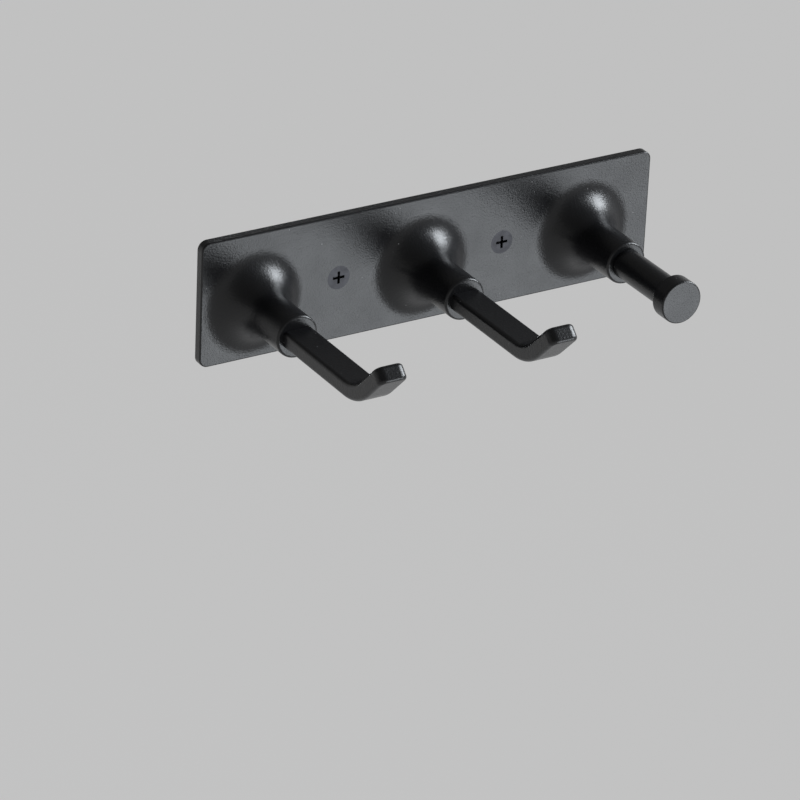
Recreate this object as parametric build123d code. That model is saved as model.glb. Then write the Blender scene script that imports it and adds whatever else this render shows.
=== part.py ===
"""Wall holder for a hair dryer: a cast plate with three flared roots, two arms and a cord hook.

Frame: the wall is the plane Y = 0, and the holder stands out of it towards -Y. +X runs to the
right along the wall and +Z is up. The origin is the centre of the plate's back. Millimetres.
"""
import os

from build123d import *

# The row of roots: left arm, right arm, hook
ROOT_PITCH = 60.0
LEFT_MARGIN = 19.0
RIGHT_MARGIN = 25.5
TOP_MARGIN = 23.5
BOTTOM_MARGIN = 19.0

# Plate
PLATE_WIDTH = LEFT_MARGIN + 2 * ROOT_PITCH + RIGHT_MARGIN
PLATE_HEIGHT = TOP_MARGIN + BOTTOM_MARGIN
PLATE_THICKNESS = 3.0
PLATE_CORNER = 3.0
PLATE_EDGE = 0.5
RECESS_RIM = 4.0
RECESS_DEPTH = 1.0

ROW_Z = BOTTOM_MARGIN - PLATE_HEIGHT / 2
HOOK_X = PLATE_WIDTH / 2 - RIGHT_MARGIN
RIGHT_ARM_X = HOOK_X - ROOT_PITCH
LEFT_ARM_X = RIGHT_ARM_X - ROOT_PITCH
ROOT_XS = (LEFT_ARM_X, RIGHT_ARM_X, HOOK_X)

# Flared root: a round boss whose foot sweeps out into the plate's face
BOSS_RADIUS = 7.15
BOSS_LENGTH = 27.0
BOSS_EDGE = 0.8
FLARE_SPREAD = 11.0
FLARE_RISE = 12.0
BOSS_END_Y = -PLATE_THICKNESS - BOSS_LENGTH
SOCKET_DEPTH = 14.0
SOCKET_FLOOR_Y = BOSS_END_Y + SOCKET_DEPTH

# Arm: a rectangular bar, straight out, then turned up, with a slightly smaller tenon in its root
ARM_WIDTH = 10.0
ARM_THICKNESS = 5.4
ARM_CORNER = 1.2
ARM_TENON_STEP = 0.3
ARM_TIP_CORNER = 2.7
ARM_BEND_Y = -72.7
ARM_BEND_RADIUS = 15.5
ARM_RISE_ANGLE = 45.0
ARM_RISE_LENGTH = 18.9

# Cord hook: a turned pin with a separate head
PIN_RADIUS = 5.0
PIN_SPIGOT_RADIUS = 4.0
PIN_STUD_RADIUS = 2.5
PIN_STUD_LENGTH = 4.5
PIN_CHAMFER = 0.4
HEAD_RADIUS = 7.2
HEAD_LENGTH = 5.9
HEAD_EDGE = 0.5
HOOK_FRONT_Y = -61.7
HEAD_BACK_Y = HOOK_FRONT_Y + HEAD_LENGTH

# Root screws: from the back into the arms and the pin, with a hexagon drive
ROOT_SCREW_RADIUS = 1.5
ROOT_SCREW_CLEARANCE = 1.7
ROOT_SCREW_HEAD = (3.0, 1.7)
ROOT_SCREW_LENGTH = 24.0
ROOT_THREAD_RUN_OUT = 1.0
HEX_DRIVE_ACROSS = 2.0
HEX_DRIVE_DEPTH = 1.1

# Wall screws: from the front into the wall, with a cross drive; heads are (radius, height)
WALL_SCREW_RADIUS = 2.0
WALL_SCREW_CLEARANCE = 2.25
WALL_SCREW_HEAD = (4.0, 2.2)
WALL_SCREW_LENGTH = 36.0
WALL_SCREW_POINT = 4.0
WALL_SCREW_TIP_RADIUS = 0.3
SCREW_RIM = 0.2
CROSS_DRIVE_WIDTH = 0.9
CROSS_DRIVE_SPAN = 4.2
CROSS_DRIVE_DEPTH = 1.4
WALL_SCREW_XS = (RIGHT_ARM_X - ROOT_PITCH / 2, RIGHT_ARM_X + ROOT_PITCH / 2)
SCREW_ISLAND_RADIUS = 7.0

# Wall plugs
PLUG_RADIUS = 3.0
PLUG_LENGTH = 30.0
PLUG_GROOVE_DEPTH = 0.5
PLUG_GROOVE_WIDTH = 1.2
PLUG_GROOVE_PITCH = 3.2
PLUG_GROOVES = 6
PLUG_SLIT = 0.9
PLUG_SLIT_LENGTH = 20.0
PLUG_NOSE = 0.8

# Pad in the back recess
PAD_CLEARANCE = 0.25

UPWARDS = (Align.CENTER, Align.CENTER, Align.MIN)


def along_minus_y(shape, x, y, z):
    """Stand a shape built along +Z so that its +Z points to -Y, with its foot at (x, y, z)."""
    return Pos(x, y, z) * Rot(90, 0, 0) * shape


def along_plus_y(shape, x, y, z):
    """The same, pointing into the wall."""
    return Pos(x, y, z) * Rot(-90, 0, 0) * shape


def revolved(outline):
    """Turn a closed outline of (radius, height) points about the Z axis."""
    return revolve(Plane.XZ * make_face(outline), Axis.Z)


def rounded_plate(width, height, corner, y_back, depth):
    """A rounded rectangle in the wall's plane, thickened towards -Y from y_back."""
    outline = Plane(origin=(0, y_back, 0), x_dir=(1, 0, 0), z_dir=(0, -1, 0))
    return extrude(outline * RectangleRounded(width, height, corner), depth)


def flared_boss():
    """Round boss on a trumpet foot, both along +Z, with the foot's rim tangent to the plate."""
    foot = BOSS_RADIUS + FLARE_SPREAD
    flare = EllipticalCenterArc(
        (foot, FLARE_RISE), FLARE_SPREAD, FLARE_RISE, start_angle=180, arc_size=90
    )
    side = Line((BOSS_RADIUS, FLARE_RISE), (BOSS_RADIUS, BOSS_LENGTH - BOSS_EDGE))
    round_over = RadiusArc(side @ 1, (BOSS_RADIUS - BOSS_EDGE, BOSS_LENGTH), -BOSS_EDGE)
    rest = Polyline(round_over @ 1, (0, BOSS_LENGTH), (0, 0), flare @ 1)
    return revolved([flare, side, round_over, rest])


def countersink(length, shank_radius, head):
    """A countersunk screw's solid along +Z, its flat head face at Z = 0."""
    head_radius, head_height = head
    outline = Polyline(
        (0, 0),
        (head_radius, 0),
        (head_radius, SCREW_RIM),
        (shank_radius, head_height),
        (shank_radius, length),
        (0, length),
        close=True,
    )
    return revolved([outline])


def facing_minus_y(y):
    """A plane across the bar, for drawing its section."""
    return Plane(origin=(0, y, 0), x_dir=(1, 0, 0), z_dir=(0, -1, 0))


def tenon():
    """The bar's reduced end, from the socket's floor to the boss's end."""
    width = ARM_WIDTH - 2 * ARM_TENON_STEP
    thickness = ARM_THICKNESS - 2 * ARM_TENON_STEP
    section = facing_minus_y(SOCKET_FLOOR_Y) * RectangleRounded(width, thickness, ARM_CORNER)
    return extrude(section, SOCKET_DEPTH)


def thread_hole():
    """Blind hole for a root screw, from the socket's floor outwards."""
    depth = ROOT_SCREW_LENGTH + RECESS_DEPTH + SOCKET_FLOOR_Y + ROOT_THREAD_RUN_OUT
    return along_minus_y(Cylinder(ROOT_SCREW_RADIUS, 2 * depth), 0, SOCKET_FLOOR_Y, 0)


def arm():
    """Bent bar on the plane X = 0, with its straight run on the line Z = 0."""
    corner = Vector(0, ARM_BEND_Y, 0)
    rise = Vector(0, -1, 0).rotate(Axis.X, -ARM_RISE_ANGLE)
    path = FilletPolyline(
        (0, BOSS_END_Y, 0), corner, corner + rise * ARM_RISE_LENGTH, radius=ARM_BEND_RADIUS
    )
    bar = sweep(facing_minus_y(BOSS_END_Y) * Rectangle(ARM_WIDTH, ARM_THICKNESS), path)
    bar = fillet(tip_face(bar, rise).edges().filter_by(Axis.X, reverse=True), ARM_TIP_CORNER)
    bar = fillet(tip_face(bar, rise).edges().filter_by(Axis.X), ARM_CORNER)
    return bar + tenon() - thread_hole()


def tip_face(bar, rise):
    """The face furthest along the rise."""
    return max(bar.faces(), key=lambda face: face.center().dot(rise))


def base_plate():
    """Cast plate, its three flared roots with their sockets, and the recess in its back."""
    plate = rounded_plate(PLATE_WIDTH, PLATE_HEIGHT, PLATE_CORNER, 0, PLATE_THICKNESS)
    front = plate.faces().sort_by(Axis.Y)[0]
    plate = fillet(front.edges(), PLATE_EDGE)
    for x in ROOT_XS:
        plate += along_minus_y(flared_boss(), x, -PLATE_THICKNESS, ROW_Z)

    recess = rounded_plate(
        PLATE_WIDTH - 2 * RECESS_RIM, PLATE_HEIGHT - 2 * RECESS_RIM, PLATE_CORNER, 0, RECESS_DEPTH
    )
    for x in WALL_SCREW_XS:
        recess -= along_minus_y(Cylinder(SCREW_ISLAND_RADIUS, 2 * PLATE_THICKNESS), x, 0, 0)
    plate -= recess

    passage = countersink(-SOCKET_FLOOR_Y, ROOT_SCREW_CLEARANCE, ROOT_SCREW_HEAD)
    for x in ROOT_XS:
        plate -= along_minus_y(passage, x, -RECESS_DEPTH, ROW_Z)
    for x in (LEFT_ARM_X, RIGHT_ARM_X):
        plate -= Pos(x, 0, ROW_Z) * tenon()
    spigot = Cylinder(PIN_SPIGOT_RADIUS, SOCKET_DEPTH, align=UPWARDS)
    plate -= along_minus_y(spigot, HOOK_X, SOCKET_FLOOR_Y, ROW_Z)

    wall_hole = countersink(PLATE_THICKNESS, WALL_SCREW_CLEARANCE, WALL_SCREW_HEAD)
    for x in WALL_SCREW_XS:
        plate -= along_plus_y(wall_hole, x, -PLATE_THICKNESS, 0)
    return plate


def hook_pin():
    """Turned pin: spigot in the socket, smooth neck for the cord, stud for the head."""
    neck_start = SOCKET_DEPTH
    neck_end = SOCKET_FLOOR_Y - HEAD_BACK_Y
    outline = Polyline(
        (0, 0),
        (PIN_SPIGOT_RADIUS, 0),
        (PIN_SPIGOT_RADIUS, neck_start),
        (PIN_RADIUS - PIN_CHAMFER, neck_start),
        (PIN_RADIUS, neck_start + PIN_CHAMFER),
        (PIN_RADIUS, neck_end),
        (PIN_STUD_RADIUS, neck_end),
        (PIN_STUD_RADIUS, neck_end + PIN_STUD_LENGTH),
        (0, neck_end + PIN_STUD_LENGTH),
        close=True,
    )
    pin = along_minus_y(revolved([outline]), 0, SOCKET_FLOOR_Y, 0) - thread_hole()
    return Pos(HOOK_X, 0, ROW_Z) * pin


def hook_head():
    """Round head with softened rims and a blind hole for the pin's stud."""
    head = Cylinder(HEAD_RADIUS, HEAD_LENGTH, align=UPWARDS)
    head = fillet(head.edges(), HEAD_EDGE)
    head -= Cylinder(PIN_STUD_RADIUS, 2 * PIN_STUD_LENGTH)
    return along_minus_y(head, HOOK_X, HEAD_BACK_Y, ROW_Z)


def root_screw():
    """Machine screw with a hexagon drive, its head face at Z = 0."""
    screw = countersink(ROOT_SCREW_LENGTH, ROOT_SCREW_RADIUS, ROOT_SCREW_HEAD)
    drive = extrude(RegularPolygon(HEX_DRIVE_ACROSS / 2, 6, major_radius=False), HEX_DRIVE_DEPTH)
    return screw - drive


def wall_screw():
    """Wood screw with a cross drive and a pointed end, its head face at Z = 0."""
    shank_end = WALL_SCREW_LENGTH - WALL_SCREW_POINT
    body = countersink(shank_end, WALL_SCREW_RADIUS, WALL_SCREW_HEAD)
    point = Cone(WALL_SCREW_RADIUS, WALL_SCREW_TIP_RADIUS, WALL_SCREW_POINT, align=UPWARDS)
    screw = body + Pos(0, 0, shank_end) * point
    for size in ((CROSS_DRIVE_SPAN, CROSS_DRIVE_WIDTH), (CROSS_DRIVE_WIDTH, CROSS_DRIVE_SPAN)):
        screw -= Box(*size, 2 * CROSS_DRIVE_DEPTH)
    return screw


def wall_plug():
    """Split plug with ring grooves, its mouth at Z = 0 and its nose chamfered."""
    plug = Cylinder(PLUG_RADIUS, PLUG_LENGTH, align=UPWARDS)
    plug = chamfer(plug.edges().sort_by(Axis.Z)[-1], PLUG_NOSE)
    ring = Cylinder(2 * PLUG_RADIUS, PLUG_GROOVE_WIDTH, align=UPWARDS)
    ring -= Cylinder(PLUG_RADIUS - PLUG_GROOVE_DEPTH, PLUG_GROOVE_WIDTH, align=UPWARDS)
    first_groove = PLUG_LENGTH - PLUG_NOSE - PLUG_GROOVES * PLUG_GROOVE_PITCH
    for i in range(PLUG_GROOVES):
        plug -= Pos(0, 0, first_groove + i * PLUG_GROOVE_PITCH) * ring
    plug -= Cylinder(WALL_SCREW_RADIUS, 2 * PLUG_LENGTH)
    slit = Box(3 * PLUG_RADIUS, PLUG_SLIT, PLUG_SLIT_LENGTH, align=UPWARDS)
    return plug - Pos(0, 0, PLUG_LENGTH - PLUG_SLIT_LENGTH) * slit


def back_pad():
    """Foam pad that fills the back recess, flush with the rim, and is cut round the wall screws."""
    inset = RECESS_RIM + PAD_CLEARANCE
    pad = rounded_plate(
        PLATE_WIDTH - 2 * inset, PLATE_HEIGHT - 2 * inset, PLATE_CORNER, 0, RECESS_DEPTH
    )
    for x in WALL_SCREW_XS:
        hole = Cylinder(SCREW_ISLAND_RADIUS + PAD_CLEARANCE, 2 * PLATE_THICKNESS)
        pad -= along_minus_y(hole, x, 0, 0)
    return pad


def build():
    """Every node by name."""
    bar = arm()
    return {
        "base_plate": base_plate(),
        "left_arm": Pos(LEFT_ARM_X, 0, ROW_Z) * bar,
        "right_arm": Pos(RIGHT_ARM_X, 0, ROW_Z) * bar,
        "hook_pin": hook_pin(),
        "hook_head": hook_head(),
        "root_screws": Compound(
            [along_minus_y(root_screw(), x, -RECESS_DEPTH, ROW_Z) for x in ROOT_XS]
        ),
        "wall_screws": Compound(
            [along_plus_y(wall_screw(), x, -PLATE_THICKNESS, 0) for x in WALL_SCREW_XS]
        ),
        "wall_plugs": Compound([along_plus_y(wall_plug(), x, 0, 0) for x in WALL_SCREW_XS]),
        "back_pad": back_pad(),
    }


os.makedirs("parts", exist_ok=True)
for node, shape in build().items():
    export_step(shape, f"parts/{node}.step")
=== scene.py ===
"""Looks for the wall holder: its finishes, the foam in its back, the stage, lamps and camera.

The frame is the part's own, in metres: the wall is the plane Y = 0 and +Z is up.
"""
import math

import bmesh
import bpy
from mathutils import Matrix, Vector
from mathutils.noise import noise as noise_at


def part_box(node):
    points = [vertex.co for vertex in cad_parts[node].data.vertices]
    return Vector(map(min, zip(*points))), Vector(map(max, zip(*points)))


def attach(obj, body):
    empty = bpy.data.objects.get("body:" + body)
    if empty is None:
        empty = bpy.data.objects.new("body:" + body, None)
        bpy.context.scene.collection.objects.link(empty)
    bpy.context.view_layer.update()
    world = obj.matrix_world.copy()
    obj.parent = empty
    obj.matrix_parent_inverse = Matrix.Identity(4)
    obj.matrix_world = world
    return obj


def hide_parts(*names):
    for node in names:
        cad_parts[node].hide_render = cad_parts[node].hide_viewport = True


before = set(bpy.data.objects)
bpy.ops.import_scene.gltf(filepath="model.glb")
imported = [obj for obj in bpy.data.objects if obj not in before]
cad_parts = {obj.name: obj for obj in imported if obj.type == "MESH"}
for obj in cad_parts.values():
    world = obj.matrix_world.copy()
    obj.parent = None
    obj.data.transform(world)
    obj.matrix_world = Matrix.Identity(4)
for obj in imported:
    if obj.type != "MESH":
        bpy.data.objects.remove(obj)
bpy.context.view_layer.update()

# Camera: where it stands, and how it is turned from a view straight at the wall
CAMERA_AT = Vector((-0.73302, -1.16737, 0.64893))
CAMERA_YAW = math.radians(31.886)
CAMERA_PITCH = math.radians(26.958)
CAMERA_ROLL = math.radians(2.60)
CAMERA_LENS = 216.71
CAMERA_SENSOR = 36.0
CAMERA_NEAR = 0.01

# Stage: the floor and the world's horizon share one pale tone
FLOOR_HALF = 12.0
FLOOR_Z = -1.6
FLOOR_COLOUR = 0.75
FLOOR_ROUGHNESS = 0.8
FLOOR_SPECULAR = 0.1
FLOOR_GLOW = 0.8
FLOOR_GLOW_SHARE = 0.6
WORLD_PALE = 0.52
WORLD_DIM = 0.15
PALE_UP_TO = 0.1
DIM_FROM = 0.35

# Lamps: where each stands, as seen from the holder
HOLDER_MIDDLE = Vector((0.0, -0.04, 0.0))
LAMP_COLOUR = (0.9, 0.95, 1.0)
LAMPS = {
    "key": {
        "direction": (0.88, -0.25, 0.4),
        "distance": 0.9,
        "size": (0.6, 0.4),
        "power": 12.0,
    },
    "front": {
        "direction": (0.471, -0.757, -0.453),
        "distance": 0.9,
        "size": (0.5, 0.4),
        "power": 3.0,
    },
    "back": {
        "direction": (0.2, 0.97, -0.15),
        "distance": 2.0,
        "size": (1.2, 1.0),
        "power": 25.0,
    },
}

# Ramps: the part of a noise's range that most of it lies in
NOISE_RANGE = (0.3, 0.7)

# Powder coat: scales are in features per metre, and relief in metres
COAT_COLOUR = (0.0065, 0.0067, 0.0078)
COAT_SHADE = 0.9
COAT_TONE_SCALE = 90.0
COAT_TONE_DETAIL = 3.0
COAT_ROUGHNESS = (0.28, 0.33)
COAT_SPECULAR = 0.42
COAT_RIPPLE = {"scale": 500.0, "distance": 0.00008, "strength": 0.5}
COAT_GRAIN = {"scale": 1700.0, "distance": 0.00009, "strength": 0.8}
DUST_COLOUR = (0.3, 0.3, 0.31)
DUST_SCALE = 250.0
DUST_EDGE = (0.03, 0.055)
DUST_COVER = 0.6

# Plated steel
ZINC = {"colour": (0.55, 0.56, 0.58), "roughness": 0.3}
BLACK_STEEL = {"colour": (0.035, 0.035, 0.038), "roughness": 0.38}
STEEL_SHADE = 0.85
STEEL_ROUGHNESS_SPREAD = 0.06
STEEL_TONE_SCALE = 500.0
STEEL_TONE_DETAIL = 3.0
STEEL_GRAIN = {"scale": 3000.0, "distance": 0.00002, "strength": 0.4}

# Moulded nylon
NYLON_DARK = (0.36, 0.37, 0.38)
NYLON_LIGHT = (0.44, 0.45, 0.46)
NYLON_TONE_SCALE = 350.0
NYLON_TONE_DETAIL = 4.0
NYLON_ROUGHNESS = 0.45
NYLON_GRAIN = {"scale": 1800.0, "distance": 0.00003, "strength": 0.5}

# Foam: its skin, darker in the pits of its cells, which is painted shade
FOAM_PIT_SHADE = (0.012, 0.012, 0.013)
FOAM_LIGHT = (0.035, 0.035, 0.037)
FOAM_CELL_SCALE = 1400.0
FOAM_CELL_RANGE = (0.1, 0.6)
FOAM_CELL_RELIEF = {"distance": 0.00025, "strength": 0.8}
FOAM_ROUGHNESS = 0.9

# Foam: the sheet's shape, in metres, with the share of the mesh that is kept
FOAM_WELD = 0.000001
FOAM_VOXEL = 0.0003
FOAM_SMOOTH_FACTOR = 0.5
FOAM_SMOOTH_PASSES = 4
FOAM_WAVES = 140.0
FOAM_SWELL = 0.00005
FOAM_KEEP = 0.1


def grey(value):
    return (value, value, value, 1.0)


def opaque(colour, shade=1.0):
    """A colour with its alpha, darkened by a shade below 1."""
    return tuple(channel * shade for channel in colour) + (1.0,)


def new_material(name):
    """A node material, and its Principled shader."""
    material = bpy.data.materials.new(name)
    material.use_nodes = True
    return material, material.node_tree.nodes["Principled BSDF"]


def add_node(material, kind, **inputs):
    """One shader node with its inputs set by name."""
    node = material.node_tree.nodes.new(kind)
    for name, value in inputs.items():
        node.inputs[name].default_value = value
    return node


def link(material, out_socket, in_socket):
    material.node_tree.links.new(out_socket, in_socket)


def add_texture(material, kind, **inputs):
    """A texture in object coordinates, so that its scale is in features per metre."""
    where = add_node(material, "ShaderNodeTexCoord")
    texture = add_node(material, kind, **inputs)
    link(material, where.outputs["Object"], texture.inputs["Vector"])
    return texture


def noise(material, scale, detail=2.0):
    """Soft noise, mostly within NOISE_RANGE."""
    return add_texture(
        material, "ShaderNodeTexNoise", Scale=scale, Detail=detail
    ).outputs["Fac"]


def cells(material, scale):
    """The distance to the nearest of many scattered points."""
    return add_texture(material, "ShaderNodeTexVoronoi", Scale=scale).outputs["Distance"]


def ramp(material, value, low, high, places=NOISE_RANGE):
    """Goes from one colour to another as a value passes between two places."""
    node = add_node(material, "ShaderNodeValToRGB")
    for element, place, colour in zip(node.color_ramp.elements, places, (low, high)):
        element.position = place
        element.color = colour
    link(material, value, node.inputs["Fac"])
    return node.outputs["Color"]


def bump(material, shader, height, distance, strength, under=None):
    """Gives a shader some relief, over the relief under it if there is any."""
    node = add_node(material, "ShaderNodeBump", Strength=strength, Distance=distance)
    link(material, height, node.inputs["Height"])
    if under:
        link(material, under, node.inputs["Normal"])
    link(material, node.outputs["Normal"], shader.inputs["Normal"])
    return node.outputs["Normal"]


def grain(material, shader, scale, distance, strength, under=None):
    """Relief made of noise."""
    return bump(material, shader, noise(material, scale), distance, strength, under)


def powder_coat():
    """Satin black with the fine grain of a powder coat and a few specks of dust."""
    material, shader = new_material("black_coating")
    tone = noise(material, COAT_TONE_SCALE, COAT_TONE_DETAIL)
    colour = ramp(material, tone, opaque(COAT_COLOUR, COAT_SHADE), opaque(COAT_COLOUR))
    specks = cells(material, DUST_SCALE)
    dust = ramp(material, specks, grey(DUST_COVER), grey(0.0), DUST_EDGE)
    dusted = add_node(material, "ShaderNodeMix")
    dusted.data_type = "RGBA"
    dusted.inputs["B"].default_value = opaque(DUST_COLOUR)
    link(material, dust, dusted.inputs["Factor"])
    link(material, colour, dusted.inputs["A"])
    link(material, dusted.outputs["Result"], shader.inputs["Base Color"])

    gloss = ramp(material, tone, *map(grey, COAT_ROUGHNESS))
    link(material, gloss, shader.inputs["Roughness"])
    shader.inputs["Specular IOR Level"].default_value = COAT_SPECULAR

    ripple = grain(material, shader, **COAT_RIPPLE)
    grain(material, shader, **COAT_GRAIN, under=ripple)
    return material


def plated_steel(name, colour, roughness):
    """Plated steel, a little uneven in tone and gloss."""
    material, shader = new_material(name)
    shader.inputs["Metallic"].default_value = 1.0
    tone = noise(material, STEEL_TONE_SCALE, STEEL_TONE_DETAIL)
    plating = ramp(material, tone, opaque(colour, STEEL_SHADE), opaque(colour))
    link(material, plating, shader.inputs["Base Color"])
    smoother = grey(roughness - STEEL_ROUGHNESS_SPREAD)
    rougher = grey(roughness + STEEL_ROUGHNESS_SPREAD)
    link(material, ramp(material, tone, smoother, rougher), shader.inputs["Roughness"])
    grain(material, shader, **STEEL_GRAIN)
    return material


def moulded_nylon():
    """Grey moulded plastic with a slightly mottled, waxy surface."""
    material, shader = new_material("grey_nylon")
    shader.inputs["Roughness"].default_value = NYLON_ROUGHNESS
    tone = noise(material, NYLON_TONE_SCALE, NYLON_TONE_DETAIL)
    mottle = ramp(material, tone, opaque(NYLON_DARK), opaque(NYLON_LIGHT))
    link(material, mottle, shader.inputs["Base Color"])
    grain(material, shader, **NYLON_GRAIN)
    return material


def closed_cell_foam():
    """Black foam: dull, with tiny cells open at its surface, their pits darkened with painted
    shade.
    """
    material, shader = new_material("black_foam")
    shader.inputs["Roughness"].default_value = FOAM_ROUGHNESS
    pores = cells(material, FOAM_CELL_SCALE)
    # Painted shade: the colour darkens towards each cell's centre, where the relief below
    # dips into a pit
    tone = ramp(material, pores, opaque(FOAM_PIT_SHADE), opaque(FOAM_LIGHT), FOAM_CELL_RANGE)
    link(material, tone, shader.inputs["Base Color"])
    bump(material, shader, pores, **FOAM_CELL_RELIEF)
    return material


def welded_copy(node, name):
    """A new piece with a CAD node's mesh, its faces joined where they meet."""
    mesh = bpy.data.meshes.new(name)
    work = bmesh.new()
    work.from_mesh(node.data)
    bmesh.ops.remove_doubles(work, verts=work.verts, dist=FOAM_WELD)
    work.to_mesh(mesh)
    work.free()
    piece = bpy.data.objects.new(name, mesh)
    bpy.context.collection.objects.link(piece)
    return piece


def work_in(piece):
    """Turns a piece's modifiers into its mesh, and gives that mesh."""
    evaluated = piece.evaluated_get(bpy.context.evaluated_depsgraph_get())
    shaped = bpy.data.meshes.new_from_object(evaluated)
    piece.modifiers.clear()
    piece.data = shaped
    return shaped


def foam_sheet():
    """The back pad as die-cut foam, with soft edges and a slightly uneven skin."""
    low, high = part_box("back_pad")
    piece = welded_copy(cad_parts["back_pad"], "foam_sheet")
    even = piece.modifiers.new("even", "REMESH")
    even.mode = "VOXEL"
    even.voxel_size = FOAM_VOXEL
    softer = piece.modifiers.new("softer", "SMOOTH")
    softer.factor = FOAM_SMOOTH_FACTOR
    softer.iterations = FOAM_SMOOTH_PASSES
    for vertex in work_in(piece).vertices:
        swell = noise_at(vertex.co * FOAM_WAVES) * FOAM_SWELL
        vertex.co.y = min(max(vertex.co.y + swell, low[1]), high[1])

    lighter = piece.modifiers.new("lighter", "DECIMATE")
    lighter.ratio = FOAM_KEEP
    shaped = work_in(piece)
    for face in shaped.polygons:
        face.use_smooth = True
    shaped.materials.clear()
    shaped.materials.append(closed_cell_foam())

    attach(piece, "root")
    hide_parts("back_pad")


def finish_cad_pieces():
    """Gives each CAD piece that stays its own finish."""
    coat = powder_coat()
    finishes = {
        "base_plate": coat,
        "left_arm": coat,
        "right_arm": coat,
        "hook_pin": coat,
        "hook_head": coat,
        "root_screws": plated_steel("zinc_steel", **ZINC),
        "wall_screws": plated_steel("black_steel", **BLACK_STEEL),
        "wall_plugs": moulded_nylon(),
    }
    for name, material in finishes.items():
        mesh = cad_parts[name].data
        mesh.materials.clear()
        mesh.materials.append(material)


def add_camera():
    """Long-lens camera, above and left of the holder, looking down at it."""
    forward = Vector(
        (
            math.sin(CAMERA_YAW) * math.cos(CAMERA_PITCH),
            math.cos(CAMERA_YAW) * math.cos(CAMERA_PITCH),
            -math.sin(CAMERA_PITCH),
        )
    )
    right = Vector((math.cos(CAMERA_YAW), -math.sin(CAMERA_YAW), 0))
    up = right.cross(forward)
    turned_right = right * math.cos(CAMERA_ROLL) + up * math.sin(CAMERA_ROLL)
    turned_up = turned_right.cross(forward)
    axes = Matrix((turned_right, turned_up, -forward)).transposed()

    data = bpy.data.cameras.new("camera")
    data.lens = CAMERA_LENS
    data.sensor_width = CAMERA_SENSOR
    data.clip_start = CAMERA_NEAR
    camera = bpy.data.objects.new("camera", data)
    camera.matrix_world = Matrix.Translation(CAMERA_AT) @ axes.to_4x4()
    bpy.context.collection.objects.link(camera)
    bpy.context.scene.camera = camera


def add_floor():
    """Plain pale floor far below the holder, lit partly by its own glow."""
    half, z = FLOOR_HALF, FLOOR_Z
    corners = [(-half, -half, z), (half, -half, z), (half, half, z), (-half, half, z)]
    mesh = bpy.data.meshes.new("floor")
    mesh.from_pydata(corners, [], [(0, 1, 2, 3)])
    floor = bpy.data.objects.new("floor", mesh)
    bpy.context.collection.objects.link(floor)

    material, shader = new_material("floor")
    shader.inputs["Base Color"].default_value = grey(FLOOR_COLOUR)
    shader.inputs["Roughness"].default_value = FLOOR_ROUGHNESS
    shader.inputs["Specular IOR Level"].default_value = FLOOR_SPECULAR
    glow = add_node(material, "ShaderNodeEmission", Color=grey(FLOOR_GLOW))
    mix = add_node(material, "ShaderNodeMixShader", Fac=FLOOR_GLOW_SHARE)
    output = material.node_tree.nodes["Material Output"]
    link(material, shader.outputs["BSDF"], mix.inputs[1])
    link(material, glow.outputs["Emission"], mix.inputs[2])
    link(material, mix.outputs["Shader"], output.inputs["Surface"])
    mesh.materials.append(material)


def add_world():
    """Soft surroundings, pale round the horizon and dimmer overhead."""
    world = bpy.data.worlds.new("world")
    bpy.context.scene.world = world
    world.use_nodes = True
    nodes, links = world.node_tree.nodes, world.node_tree.links
    where = nodes.new("ShaderNodeTexCoord")
    split = nodes.new("ShaderNodeSeparateXYZ")
    strength = nodes.new("ShaderNodeMapRange")
    strength.interpolation_type = "SMOOTHSTEP"
    strength.inputs["From Min"].default_value = PALE_UP_TO
    strength.inputs["From Max"].default_value = DIM_FROM
    strength.inputs["To Min"].default_value = WORLD_PALE
    strength.inputs["To Max"].default_value = WORLD_DIM
    links.new(where.outputs["Generated"], split.inputs["Vector"])
    links.new(split.outputs["Z"], strength.inputs["Value"])
    links.new(strength.outputs["Result"], nodes["Background"].inputs["Strength"])
    nodes["Background"].inputs["Color"].default_value = grey(1.0)


def add_lamp(name, direction, distance, size, power):
    """A soft box that stands in a direction from the holder and faces it."""
    data = bpy.data.lights.new(name, "AREA")
    data.shape = "RECTANGLE"
    data.size, data.size_y = size
    data.energy = power
    data.color = LAMP_COLOUR
    lamp = bpy.data.objects.new(name, data)
    lamp.location = HOLDER_MIDDLE + Vector(direction).normalized() * distance
    facing = HOLDER_MIDDLE - lamp.location
    lamp.rotation_euler = facing.to_track_quat("-Z", "Y").to_euler()
    lamp.visible_camera = False
    bpy.context.collection.objects.link(lamp)


def main():
    bpy.context.scene.view_settings.view_transform = "Standard"
    finish_cad_pieces()
    foam_sheet()
    add_camera()
    add_floor()
    add_world()
    for name, place in LAMPS.items():
        add_lamp(name, **place)


main()
